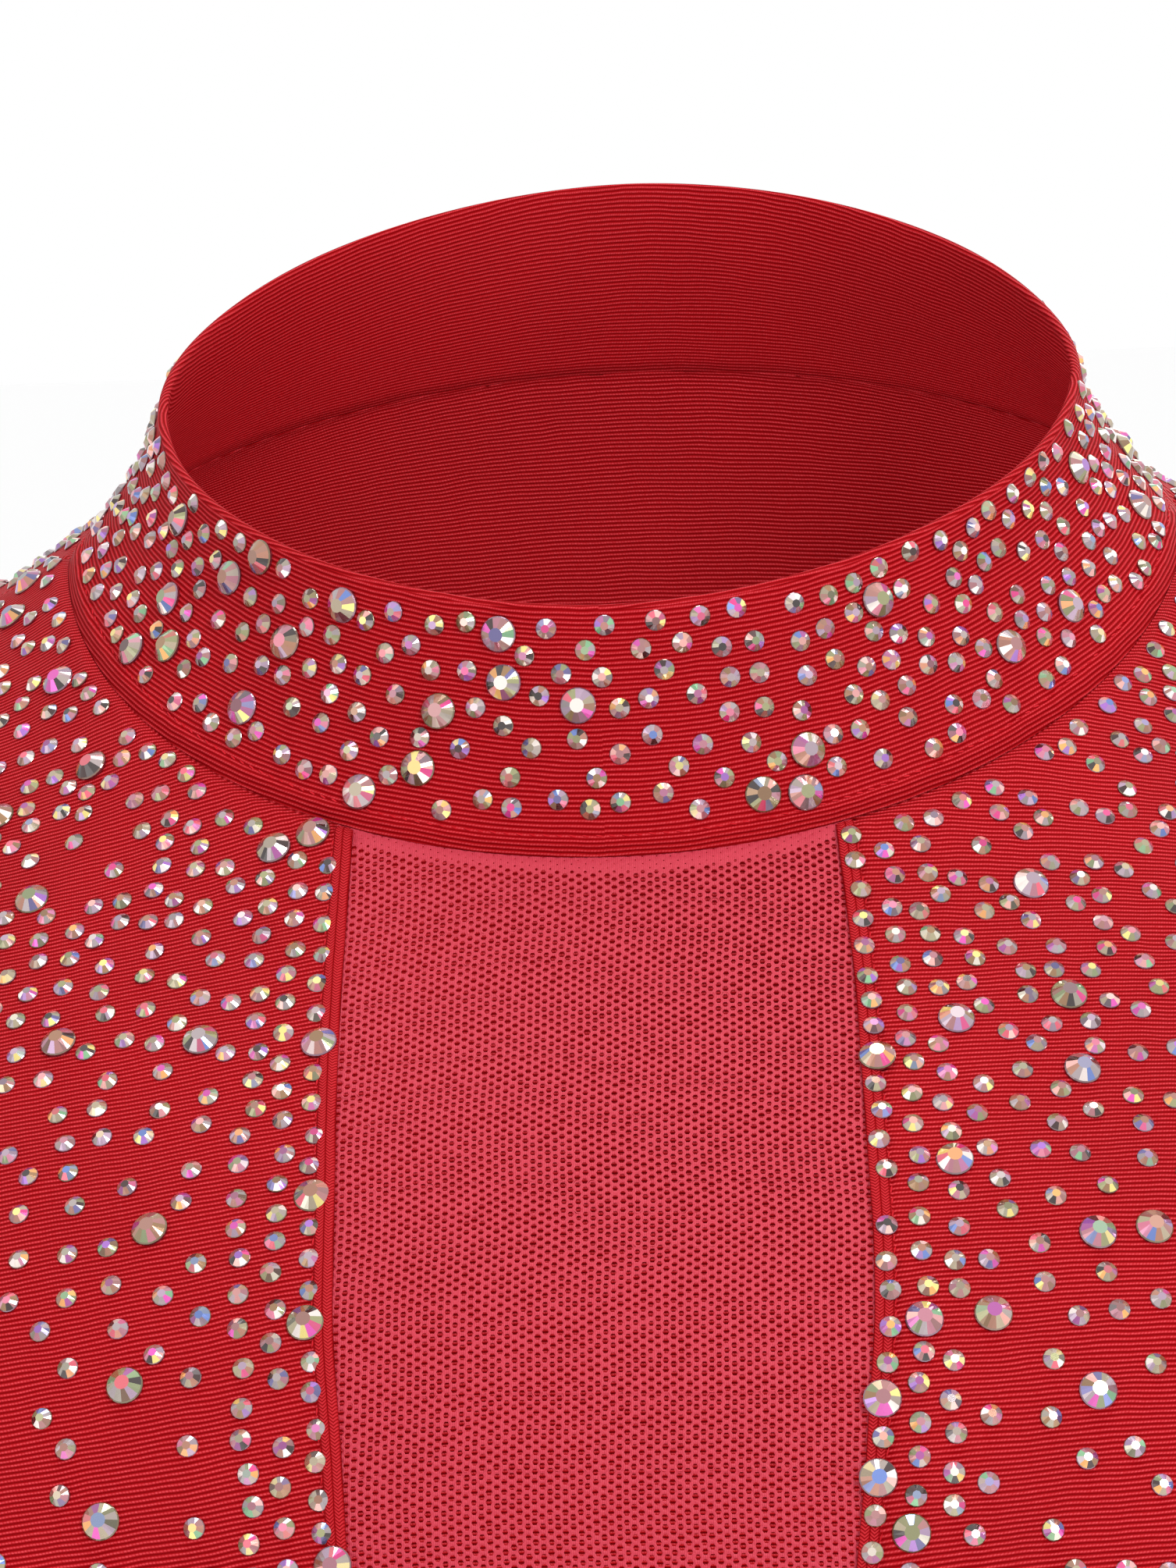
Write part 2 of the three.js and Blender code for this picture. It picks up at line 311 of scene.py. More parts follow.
# One mesh from corner points in millimetres, faces and, for each face corner, a place on the cloth
def makeMesh(name, points, faces, cornerUv=None, smooth=True, cornerHem=None):
    mesh = bpy.data.meshes.new(name)
    faces = np.asarray(faces)
    size = faces.shape[1]
    mesh.vertices.add(len(points))
    mesh.vertices.foreach_set("co", (np.asarray(points) * 0.001).astype(np.float32).ravel())
    mesh.loops.add(faces.size)
    mesh.loops.foreach_set("vertex_index", faces.astype(np.int32).ravel())
    mesh.polygons.add(len(faces))
    mesh.polygons.foreach_set("loop_start", np.arange(0, faces.size, size, dtype=np.int32))
    mesh.polygons.foreach_set("use_smooth", np.full(len(faces), smooth))
    for label, values in (("clothMap", cornerUv), ("hemMap", cornerHem)):
        if values is not None:
            layer = mesh.uv_layers.new(name=label)
            layer.data.foreach_set("uv", np.asarray(values, np.float32).ravel())
    mesh.update(calc_edges=True)
    mesh.validate()
    return addObject(name, mesh)


# A cloth shell from one grid of points and its inner side, closed round the open edges.
# uv and hem hold millimetres of cloth.
def shellPiece(name, outer, inner, uv, hem=None):
    rows, columns = outer.shape[:2]
    points = np.concatenate([outer.reshape(-1, 3), inner.reshape(-1, 3)])
    r, c = gridPairs(np.arange(rows - 1), np.arange(columns - 1))
    front = np.stack([r, r + 1, r + 1, r], 1) * columns + np.stack([c, c, c + 1, c + 1], 1)
    across, down, inside = np.arange(columns), np.arange(rows) * columns, rows * columns
    last = (rows - 1) * columns
    rims = []
    for line in (last + across, across[::-1], down, down[::-1] + columns - 1):
        rims.append(np.stack([line[:-1], line[:-1] + inside, line[1:] + inside, line[1:]], 1))
    faces = np.concatenate([front, front[:, ::-1] + inside] + rims)
    maps = [None if m is None else m.reshape(-1, 2)[faces % inside] for m in (uv, hem)]
    return makeMesh(name, points, faces, maps[0], cornerHem=maps[1])


print("shapes ready")


# Shader building

def nodeHelper(tree):
    nodes, links = tree.nodes, tree.links

    def put(socket, value):
        if isinstance(value, bpy.types.NodeSocket):
            links.new(value, socket)
        elif value is not None:
            socket.default_value = value

    def add(kind, inputs=(), **settings):
        node = nodes.new(kind)
        for key, value in settings.items():
            setattr(node, key, value)
        for key, value in dict(inputs).items():
            put(node.inputs[key], value)
        return node

    def maths(operation, a, b=None):
        return add("ShaderNodeMath", {0: a, 1: b}, operation=operation).outputs[0]

    def mixColour(share, a, b, blend="MIX"):
        node = add("ShaderNodeMix", {0: share, 6: a, 7: b}, data_type="RGBA", blend_type=blend)
        return node.outputs[2]

    # |sin(pi turn)|, one round hump to each turn
    def hump(turn):
        return maths("ABSOLUTE", maths("SINE", times(turn, math.pi)))

    def times(a, b):
        return maths("MULTIPLY", a, b)

    def plus(a, b):
        return maths("ADD", a, b)

    def noise(place, scale, detail):
        return add("ShaderNodeTexNoise", {"Vector": place, "Scale": scale, "Detail": detail}).outputs["Fac"]

    return add, maths, times, plus, hump, noise, mixColour


# A group's sockets are given by name with their values: a number, a colour, or None for a place
def newGroup(name, inputs, outputs):
    group = bpy.data.node_groups.new(name, "ShaderNodeTree")
    kinds = {float: "NodeSocketFloat", tuple: "NodeSocketColor", type(None): "NodeSocketVector"}
    for label, value in inputs.items():
        socket = group.interface.new_socket(label, in_out="INPUT", socket_type=kinds[type(value)])
        if value is not None:
            socket.default_value = value
    for label in outputs:
        kind = "NodeSocketColor" if label == "Color" else "NodeSocketFloat"
        group.interface.new_socket(label, in_out="OUTPUT", socket_type=kind)
    source = group.nodes.new("NodeGroupInput")
    sink = group.nodes.new("NodeGroupOutput")

    def close(**results):
        for label, value in results.items():
            group.links.new(value, sink.inputs[label])
        return group

    return source.outputs, close, nodeHelper(group)


def newMaterial(name):
    material = bpy.data.materials.new(name)
    material.use_nodes = True
    tree = material.node_tree
    tree.nodes.clear()
    tools = nodeHelper(tree)

    def close(inputs):
        shader = tools[0]("ShaderNodeBsdfPrincipled", inputs)
        tools[0]("ShaderNodeOutputMaterial", {0: shader.outputs[0]})
        return material

    return close, tools


clothLook = dict(bump=0.2, sheen=0.015, sheenTint=(1.0, 0.2, 0.22, 1), specular=0.03)
# Face is the knit's red; groove is painted shade between ribs, glint a painted highlight on rib tops
knitColours = {
    "Face": (0.335, 0.0010, 0.0040, 1), "Groove": (0.18, 0.0002, 0.0010, 1), "Glint": (0.78, 0.100, 0.125, 1),
}


# Ribbed knit: round ribs along U with twisted loops on them, and a slow change of tone at random
# The grooves get painted shade and the rib tops short dashes of painted highlight
def makeRibKnit():
    source, close, (add, maths, times, plus, hump, noise, mixColour) = newGroup(
        "ribKnit", {"Place": None, "Rib": 0.6, "Loop": 0.43, **knitColours, "Gloss": 0.8},
        ("Color", "Height", "Rough"))
    place = source["Place"]
    drift = times(maths("SUBTRACT", noise(place, 0.09, 2.0), 0.5), 0.9)
    split = add("ShaderNodeSeparateXYZ", {0: place})
    ribTurn = maths("DIVIDE", plus(split.outputs["Y"], drift), source["Rib"])
    rib = hump(ribTurn)
    shift = maths("FRACT", times(maths("FLOOR", ribTurn), 0.37))
    lean = times(maths("FRACT", ribTurn), 0.55)
    loopTurn = plus(maths("DIVIDE", split.outputs["X"], source["Loop"]), plus(shift, lean))
    loop = maths("POWER", hump(loopTurn), 0.7)
    body = times(rib, plus(times(loop, 0.2), 0.8))
    fleck, cloud = noise(place, 2.2, 3.0), noise(place, 0.035, 3.0)
    # painted shade: darker from the rib tops down into the grooves
    colour = mixColour(body, source["Groove"], source["Face"])
    # painted highlight: narrow dashes on the rib tops in the glint colour
    dash = times(maths("POWER", rib, 7.0), plus(times(loop, 0.8), 0.2))
    colour = mixColour(times(dash, times(fleck, source["Gloss"])), colour, source["Glint"])
    shade = plus(times(cloud, 0.22), 0.89)
    grey = add("ShaderNodeCombineColor", {0: shade, 1: shade, 2: shade})
    return close(
        Color=mixColour(1.0, colour, grey.outputs[0], "MULTIPLY"), Height=plus(body, times(fleck, 0.15)),
        Rough=maths("SUBTRACT", 0.62, times(body, 0.16)))


# The braid of stitches along the net: wales beside the edge, each a row of small chevrons
# The chevrons get painted shade towards their edges and a painted highlight on their tops
def makeBraid():
    source, close, (add, maths, times, plus, hump, noise, mixColour) = newGroup(
        "chevronBraid", {"Place": None, "Wale": 1.1, "Stitch": 0.42, **knitColours}, ("Color", "Height"))
    split = add("ShaderNodeSeparateXYZ", {0: source["Place"]})
    wale = maths("FRACT", maths("DIVIDE", split.outputs["X"], source["Wale"]))
    side = maths("ABSOLUTE", maths("SUBTRACT", times(wale, 2.0), 1.0))
    loop = hump(plus(maths("DIVIDE", split.outputs["Y"], source["Stitch"]), times(side, 1.2)))
    edge = times(maths("POWER", side, 8.0), 0.55)
    body = times(plus(times(maths("POWER", loop, 0.6), 0.55), 0.45), maths("SUBTRACT", 1.0, edge))
    # painted shade towards the chevrons' edges, then a painted highlight on their tops
    colour = mixColour(maths("POWER", body, 2.0), source["Groove"], source["Face"])
    colour = mixColour(times(maths("POWER", body, 6.0), 0.18), colour, source["Glint"])
    return close(Color=colour, Height=body)


ribKnit = makeRibKnit()
chevronBraid = makeBraid()


# The knit itself. Beside the net, out to the hem's width, the braid takes the ribs' place.
def makeClothMaterial(name, rib, loop, hemWidth=0.0, even=0.0, glintShare=0.8):
    close, (add, maths, times, plus, hump, noise, mixColour) = newMaterial(name)
    look = clothLook
    # even lightens the painted groove shade towards the face colour; the glint share sets the painted highlight
    # on the rib tops
    groove = [g + (f - g) * even for g, f in zip(knitColours["Groove"], knitColours["Face"])]
    place = add("ShaderNodeUVMap", uv_map="clothMap").outputs[0]
    knit = add("ShaderNodeGroup", {
        **knitColours, "Place": place, "Rib": rib, "Loop": loop, "Groove": groove, "Gloss": glintShare,
    }, node_tree=ribKnit)
    colour, height = knit.outputs["Color"], knit.outputs["Height"]
    if hemWidth:
        hemPlace = add("ShaderNodeUVMap", uv_map="hemMap").outputs[0]
        braid = add("ShaderNodeGroup", {"Place": hemPlace, **knitColours}, node_tree=chevronBraid)
        reach = add("ShaderNodeSeparateXYZ", {0: hemPlace})
        inHem = maths("LESS_THAN", reach.outputs["X"], hemWidth)
        colour = mixColour(inHem, colour, braid.outputs["Color"])
        height = plus(times(height, maths("SUBTRACT", 1.0, inHem)), times(braid.outputs["Height"], inHem))
    relief = add("ShaderNodeBump", {
        "Strength": 1.0, "Distance": look["bump"] * (1 - even) * 0.001, "Height": height,
    })
    return close({
        "Base Color": colour, "Roughness": knit.outputs["Rough"], "Sheen Weight": look["sheen"],
        "Sheen Roughness": 0.4, "Sheen Tint": look["sheenTint"], "Specular IOR Level": look["specular"],
        "Normal": relief.outputs[0],
    })


clothMaterial = makeClothMaterial("ribbedKnit", 0.65, 0.43)
hemmedMaterial = makeClothMaterial("ribbedKnitWithBraid", 0.65, 0.43, hemWidth=2.3)
collarMaterial = makeClothMaterial("collarKnit", 0.62, 0.36, even=0.1, glintShare=0.7)

netLook = dict(
    face=(0.50, 0.034, 0.060, 1), dipShade=(0.31, 0.010, 0.024, 1),
    bump=0.05, roughness=0.5, sheen=0.12, specular=0.2,
)


# The net's yarn: twisted strands, with painted shade where they dip
def makeNetMaterial():
    close, (add, maths, times, plus, hump, noise, mixColour) = newMaterial("netYarn")
    place = add("ShaderNodeUVMap", uv_map="clothMap").outputs[0]
    twist = add("ShaderNodeTexWave", {"Vector": place, "Scale": 1.3, "Distortion": 3.0})
    share = plus(times(noise(place, 3.2, 3.0), 0.7), times(twist.outputs["Fac"], 0.4))
    relief = add("ShaderNodeBump", {"Strength": 0.8, "Distance": netLook["bump"] * 0.001, "Height": share})
    # painted shade: the dip colour where the strands dip, the face colour on their crests
    return close({
        "Base Color": mixColour(share, netLook["dipShade"], netLook["face"]), "Roughness": netLook["roughness"],
        "Sheen Weight": netLook["sheen"], "Specular IOR Level": netLook["specular"],
        "Normal": relief.outputs[0],
    })


# Stones: the facets' colours come with the mesh, painted glints, reflections and shade among them
stoneLook = {"Metallic": 0.45, "Roughness": 0.12, "Coat Weight": 1.0, "Coat Roughness": 0.03}


def makeStoneMaterial():
    close, (add, maths, times, plus, hump, noise, mixColour) = newMaterial("coatedCrystal")
    tint = add("ShaderNodeAttribute", attribute_name="facetTintAndPaintedLight")
    return close({"Base Color": tint.outputs["Color"], **stoneLook})


threadLook = dict(dark=(0.34, 0.0015, 0.005, 1), light=(0.56, 0.020, 0.030, 1), roughness=0.5, specular=0.06)


def makeThreadMaterial():
    close, (add, maths, times, plus, hump, noise, mixColour) = newMaterial("sewingThread")
    place = add("ShaderNodeTexCoord").outputs["Object"]
    colour = mixColour(noise(place, 900.0, 2.0), threadLook["dark"], threadLook["light"])
    return close({"Base Color": colour, "Roughness": threadLook["roughness"],
                  "Specular IOR Level": threadLook["specular"]})


netMaterial = makeNetMaterial()
stoneMaterial = makeStoneMaterial()
threadMaterial = makeThreadMaterial()
print("materials ready")

# The panels of knit

panelLook = dict(
    wall=0.7, hemWide=2.3, hemRise=0.32, seamDip=0.5, seamSpread=0.75,
    openingHem=8.0, openingRise=0.45, rows=(72, 64, 52, 4, 76, 52), frontColumns=74, backColumns=92,
)
neckStops = np.array((0, 0.006, 0.015, 0.028, 0.045, 0.065, 0.095, 0.13, 0.18))
edgeStops = np.array((0, 0.12, 0.3, 0.55, 0.9, 1.3, 1.75, 2.1, 2.35, 2.6, 2.95, 3.5, 4.3))
openStops = np.array((0, 0.15, 0.4, 0.8, 1.6, 3.0, 4.6, 5.4, 5.9, 6.5, 7.4, 7.9, 8.5, 10))
crotchStops = np.array((0.1, 0.06, 0.035, 0.018, 0.008, 0))


# Stations of the rows: close ones at the neck, the net's point, the leg openings and the crotch
def rowPlaces():
    counts, names = panelLook["rows"], stationNames
    ease = (1 - np.cos(np.pi * np.arange(counts[1]) / counts[1])) / 2
    netEnd = cut["netEnd"]
    legs = names["legTop"] + 4 * (np.arange(counts[5]) / counts[5]) ** 1.5
    return np.concatenate([
        neckStops,
        np.linspace(0.23, names["shoulderEnd"], counts[0], endpoint=False),
        names["shoulderEnd"] + 3 * ease,
        np.linspace(names["armpit"], netEnd, counts[2], endpoint=False),
        np.linspace(netEnd, netEnd + 0.06, counts[3], endpoint=False),
        np.linspace(netEnd + 0.06, names["legTop"], counts[4], endpoint=False),
        legs[legs < names["crotch"] - crotchStops[0]],
        names["crotch"] - crotchStops,
    ])


rowStations = rowPlaces()


# Shares each row out between its edges: close columns beside each edge, and where the outer edge is
# cut back the inner columns stay put
def shareOut(start, end, full, startStops, endStops, count):
    a = start[:, None] + startStops / angleSpeed(start, rowStations)[:, None]
    b = end[:, None] - endStops[::-1] / angleSpeed(end, rowStations)[:, None]
    low, high = a[:, -1:], b[:, :1]
    high = np.maximum(high, low + 0.004)
    b = np.maximum(b, high)
    top = np.maximum(full - (end[:, None] - high), high)
    t = np.linspace(0, 1, count + 2)[None, 1:-1]
    away = top - high
    power = np.clip(0.85 * (top - low) / np.maximum(away, 1e-6), 1, 4)
    return np.concatenate([a, low + (top - low) * t - away * t ** power, b], 1)


# Soft creases, in millimetres and degrees: long shallow troughs, much the same on both sides
creaseColumns = ("x", "z", "heading", "long", "wide", "depth")
frontCreases = (
    (116, -146, 58, 34, 6.0, 1.6),
    (126, -174, 40, 44, 6.5, 2.2),
    (118, -204, 22, 40, 6.0, 1.5),
    (104, -352, 12, 38, 7.0, 1.6),
    (92, -380, 2, 52, 8.0, 2.6),
    (100, -408, -10, 46, 7.5, 2.2),
    (88, -434, -18, 36, 7.0, 1.3),
    (112, -556, -24, 36, 8.0, 1.3),
    (78, -618, -38, 44, 7.5, 1.9),
    (56, -642, -48, 36, 6.0, 1.6),
    (34, -655, -64, 26, 5.0, 1.0),
)
backCreases = (
    (112, -140, 60, 36, 6.5, 1.8),
    (108, -172, 36, 46, 7.0, 2.0),
    (96, -204, 18, 38, 6.5, 1.3),
    (86, -350, 10, 44, 7.5, 1.8),
    (66, -378, 2, 60, 8.5, 2.8),
    (84, -404, -10, 50, 8.0, 2.4),
    (74, -430, -18, 40, 7.0, 1.6),
    (96, -620, -34, 40, 7.5, 1.6),
    (64, -644, -46, 36, 6.5, 1.6),
)


# Each crease lowers the cloth by 1.5 depth * exp(-(along/long)^2 - (across/wide)^2). On the figure's
# right it is moved, turned and made shallower a little.
def creaseDepth(points, creases):
    right = points[..., 0] < 0
    total = np.zeros(points.shape[:-1])
    for k, row in enumerate(creases):
        crease = dict(zip(creaseColumns, row))
        a = np.radians(crease["heading"] + np.where(right, 6 * math.cos(2.3 * k), 0))
        x = np.abs(points[..., 0]) - crease["x"]
        z = points[..., 2] - crease["z"] - np.where(right, -5 + 4 * math.sin(1.7 * k), 0)
        along = x * np.cos(a) + z * np.sin(a)
        across = z * np.cos(a) - x * np.sin(a) + 0.0022 * along ** 2
        depth = 1.5 * crease["depth"] * np.where(right, 0.85 + 0.25 * math.sin(2.9 * k), 1)
        total += depth * np.exp(-(along / crease["long"]) ** 2 - (across / crease["wide"]) ** 2)
    return total


# Cloth drawn down into a seam: seamDip * exp(-(distance/seamSpread)^2), with small puckers beside it
def seamRoll(distance, along):
    pucker = 0.07 * np.sin(2 * np.pi * along / 3.1) * np.exp(-((distance - 1.6) / 1.2) ** 2)
    return pucker - panelLook["seamDip"] * np.exp(-(distance / panelLook["seamSpread"]) ** 2)


# The turned, twice-stitched hem of an opening: a raised strip with two drawn lines
def openingHem(distance):
    wide, rise = panelLook["openingHem"], panelLook["openingRise"]
    strip = rise * (1 - smoothStep(wide - 0.3, wide + 0.5, distance))
    lines = sum(0.3 * np.exp(-((distance - d) / 0.35) ** 2) for d in (wide - 2.2, wide - 0.2))
    return strip - lines - 0.3 * np.exp(-(distance / 0.3) ** 2)


# The hem beside the net: a narrow raised strip, gathered in small knots, with a drawn line behind it
def netHem(distance, along):
    strip = 1 - smoothStep(panelLook["hemWide"] - 0.2, panelLook["hemWide"] + 0.35, distance)
    knots = 0.07 * np.sin(2 * np.pi * along / 1.9) * smoothStep(0.2, 0.8, distance)
    drawn = 0.22 * np.exp(-((distance - panelLook["hemWide"] - 0.1) / 0.28) ** 2)
    return strip * (panelLook["hemRise"] + knots) - drawn - 0.25 * np.exp(-(distance / 0.25) ** 2)


def edgeLine(angleOf, low, high, count):
    stations = np.linspace(low, high, count)
    return bodyPoint(angleOf(stations), stations)


# What lies along a panel's edges, on the left half of the figure
def panelEdges(isFront, side):
    names = stationNames
    sideAngle = frontSide if isFront else backSide
    centre = (lambda s: frontCentre(s, side)) if isFront else (lambda s: s * 0 + math.pi)
    neckAngles = np.linspace(float(centre(np.zeros(1))[0]), math.pi / 2, 400)
    last = np.full(80, float(names["crotch"]))
    crotchAngles = np.linspace(float(centre(last)[0]), float(sideAngle(last)[0]), 80)
    turn = np.linspace(0, math.pi, 500)
    openings = [bodyPoint(sideAngle(s), s) for s in (
        names["shoulderEnd"] + 3 * (1 - np.cos(turn)) / 2, names["legTop"] + 4 * np.linspace(0, 1, 500) ** 1.5)]
    seams = [
        (bodyPoint(neckAngles, np.zeros(400)), False),
        (edgeLine(sideAngle, 0, names["shoulderEnd"], 260), False),
        (edgeLine(sideAngle, names["armpit"], names["legTop"], 700), True),
        (bodyPoint(crotchAngles, last), False),
    ]
    if isFront:
        seams.append((edgeLine(centre, cut["netEnd"] + 0.07, names["crotch"], 700), True))
    net = edgeLine(centre, 0, cut["netEnd"], 800) if isFront else None
    return dict(seams=seams, openings=openings, net=net)


def onLeft(points):
    return np.concatenate([np.abs(points[..., :1]), points[..., 1:]], -1)


# How far the cloth stands off the figure. Edges are given on the left half alone, and side is -1 where
# a front's points stand for the right.
def panelRelief(points, side, isFront, edges):
    run, left = grainRun(points, isFront), onLeft(points)
    total = -creaseDepth(points * np.array((side, 1, 1)), frontCreases if isFront else backCreases)
    for line, downward in edges["seams"]:
        total = total + seamRoll(edgeDistance(left, line), run if downward else left[..., 0])
    for line in edges["openings"]:
        total = total + openingHem(edgeDistance(left, line))
    if edges["net"] is not None:
        total = total + netHem(edgeDistance(left, edges["net"]), run)
    return total


# How the ribs lean off the level: a straight skew on one side of the front, a growing one on the other
def ribSkew(x, side):
    if side > 0:
        return 0.15 * (x - 30)
    u = -x + 32
    return np.where(u > -43, 0.15 * u + 0.0015 * u ** 2, 0.02 * (u + 43) - 3.68)


# A panel's shell follows the figure, raised and lowered by its relief. Returns the piece and its edges.
def panelPiece(name, angles, isFront, side, node):
    stations, edges = np.repeat(rowStations[:, None], angles.shape[1], 1), panelEdges(isFront, side)
    base = bodyPoint(angles, stations)
    normal = outward(bodyPoint, angles, stations)
    run = grainRun(base, isFront)
    offset = panelRelief(base, side, isFront, edges)
    outer = base + normal * offset[..., None]
    inner = base + normal * np.minimum(offset - panelLook["wall"], -0.2)[..., None]
    across = arcLength(base, 1)
    if isFront:
        uv = np.stack([across, run + ribSkew(base[..., 0], side)], -1)
        hem = np.stack([edgeDistance(base, edges["net"]), run], -1)
    else:
        uv = np.stack([across - across[:, across.shape[1] // 2][:, None], run], -1)
        hem = None
    if side < 0:
        flip = np.array((-1, 1, 1))
        outer, inner, uv, hem = (outer * flip)[:, ::-1], (inner * flip)[:, ::-1], uv[:, ::-1], hem[:, ::-1]
    piece = shellPiece(name, outer, inner, uv, hem)
    return finishPiece(piece, hemmedMaterial if isFront else clothMaterial, (node,)), edges


def frontPanel(name, side, node):
    start, end = frontCentre(rowStations, side), frontSide(rowStations)
    angles = shareOut(start, end, math.pi / 2, edgeStops, openStops, panelLook["frontColumns"])
    return panelPiece(name, angles, True, side, node)


def backPanelPiece(name, node):
    start = backSide(rowStations)
    half = shareOut(start * 0, math.pi - start, math.pi / 2, np.array((0.0,)), openStops,
                    panelLook["backColumns"] // 2 - 1)
    half = math.pi - half[:, ::-1]  # from the side to the middle of the back
    angles = np.concatenate([half, 2 * math.pi - half[:, -2::-1]], 1)
    return panelPiece(name, angles, False, 1, node)


frontLeft, leftEdges = frontPanel("frontPanelLeft", 1, "front_left")
print("left front ready")
frontRight, rightEdges = frontPanel("frontPanelRight", -1, "front_right")
print("right front ready")
backPanel, backEdges = backPanelPiece("backPanel", "back")
print("back ready")

# The folded collar

collarLook = dict(
    wall=1.3, ridgeHeight=1.75, ridgeRise=0.26, stitchesAbove=0.75, seamDip=0.5, columns=400, radius=66,
    waves=((0.12, 5, 0.7), (0.08, 11, 2.1)),  # height, count and turn of each wave round the top
    outerStops=(0, 0.15, 0.35, 0.6, 0.85, 1.05, 1.25, 1.5, 1.75, 2.0, 2.3, 2.7, 3.3, 4.2, 5.5),
)


def collarLength(angle):
    top, seam = collarPoint(angle, np.ones_like(angle)), collarPoint(angle, np.zeros_like(angle))
    return np.linalg.norm(top - seam, axis=1)


# One closed ring of cloth: down the outer side, in under the seam, up the inner side, over the fold.
# A point is collarPoint(angle, height) + normal * depth, all as functions of angle and place on the ring.
def collarRing():
    look = collarLook
    angle = np.linspace(0, 2 * math.pi, look["columns"] + 1)
    length = collarLength(angle)
    fold = look["wall"] / 2
    low = np.array(look["outerStops"])
    reach = (np.linspace(0, 1, 18)[1:])[:, None] * (length - fold - low[-1])[None, :] + low[-1]
    rise = np.concatenate([np.repeat(low[:, None], len(angle), 1), reach])
    turn = np.linspace(0, math.pi, 9)[1:-1]
    wave = sum(high * np.sin(count * angle + start) for high, count, start in look["waves"])
    ridge = look["ridgeRise"] * np.exp(-((rise - look["ridgeHeight"]) / 0.42) ** 2)
    stitchDip = 0.16 * np.exp(-((rise - look["ridgeHeight"] - look["stitchesAbove"]) / 0.25) ** 2)
    pucker = 0.05 * np.sin(2 * np.pi * angle[None, :] * look["radius"] / 3.1)
    pucker = pucker * np.exp(-((rise - 2.8) / 1.0) ** 2)
    outerDepth = ridge - stitchDip + pucker - look["seamDip"] * np.exp(-(rise / 0.7) ** 2)
    outerDepth = outerDepth + wave * (rise / length) ** 3
    foldHeight = length - fold + fold * np.sin(turn)[:, None]
    foldDepth = -fold - fold * np.cos(turn)[:, None] + wave
    innerRise = np.linspace(0, 1, 14)[:, None] * (length - fold)[None, :]
    innerDepth = -look["wall"] + wave * (innerRise / length) ** 3 + 0.15 * np.exp(-(innerRise / 0.8) ** 2)
    heights = np.concatenate([rise[::-1], innerRise, foldHeight, rise[-1:]])
    depths = np.concatenate([outerDepth[::-1], innerDepth, foldDepth, outerDepth[-1:]])
    share = heights / length
    spread = np.repeat(angle[None, :], len(share), 0)
    normal = collarNormal(spread, np.clip(share, 0, 1))
    point = collarPoint(spread, np.minimum(share, 1)) + normal * depths[..., None]
    around = np.repeat((angle * look["radius"])[None, :], len(share), 0)
    return point, np.stack([around, arcLength(point)], -1)


# A surface closed both ways: the last row and column repeat the first
def ringPiece(name, grid, uv):
    rows, columns = grid.shape[0] - 1, grid.shape[1] - 1
    r, c = gridPairs(np.arange(rows), np.arange(columns))
    cornerRows = np.stack([r, r + 1, r + 1, r], 1)
    cornerColumns = np.stack([c, c, c + 1, c + 1], 1)
    faces = (cornerRows % rows) * columns + cornerColumns % columns
    return makeMesh(name, grid[:-1, :-1].reshape(-1, 3), faces, uv[cornerRows, cornerColumns])


collarGrid, collarUv = collarRing()
collarBand = finishPiece(ringPiece("collarBand", collarGrid, collarUv), collarMaterial, ("collar",))
print("collar ready")

# The net: yarn round six-sided holes in staggered columns

netPlan = dict(
    columnPitch=0.87, pitch=1.15, holeAcross=0.37, holeDown=0.41, sink=0.6, ridge=0.12, under=2.0,
    behindCollar=1.2, denseFrom=1.2, denseTo=2.4, stationLength=20.4, tableStep=0.25,
    knotStray=0.035, sizeStray=0.05, holeStray=0.03,
)


# Stations for places on the net's flat cut (x, length along the grain), looked up in a table
def netStationTable():
    xs = np.linspace(-37, 37, 75)
    stations = np.concatenate([np.linspace(0, 1, 80, endpoint=False), np.linspace(1, 11, 500)])
    grid = np.repeat(stations[:, None], len(xs), 1)
    run = grainRun(bodyPoint(angleAt(np.repeat(xs[None, :], len(stations), 0), grid), grid), True)
    lengths = np.arange(-12, run.max(), netPlan["tableStep"])
    table = np.empty((len(lengths), len(xs)))
    for k in range(len(xs)):
        speed = (run[6, k] - run[0, k]) / stations[6]
        found = np.interp(lengths, run[:, k], stations)
        table[:, k] = np.where(lengths < run[0, k], (lengths - run[0, k]) / speed, found)
    return xs, lengths, table


def lookUp(table, xs, lengths, x, run):
    i = np.clip((x - xs[0]) / (xs[1] - xs[0]), 0, len(xs) - 1.001)
    k = np.clip((run - lengths[0]) / netPlan["tableStep"], 0, len(lengths) - 1.001)
    i0, k0 = i.astype(int), k.astype(int)
    a, b = i - i0, k - k0
    top = table[k0, i0] * (1 - a) + table[k0, i0 + 1] * a
    bottom = table[k0 + 1, i0] * (1 - a) + table[k0 + 1, i0 + 1] * a
    return top * (1 - b) + bottom * b


def netPoint(x, station, depth):
    s = np.maximum(station, 0)
    angle = angleAt(x, s)
    point = bodyPoint(angle, s)
    slope = (bodyPoint(angleAt(x, s * 0 + 0.05), s * 0 + 0.05) - bodyPoint(angleAt(x, s * 0), s * 0)) / 0.05
    point = point + slope * np.minimum(station, 0)[..., None]
    return point + outward(bodyPoint, angle, s) * depth[..., None]


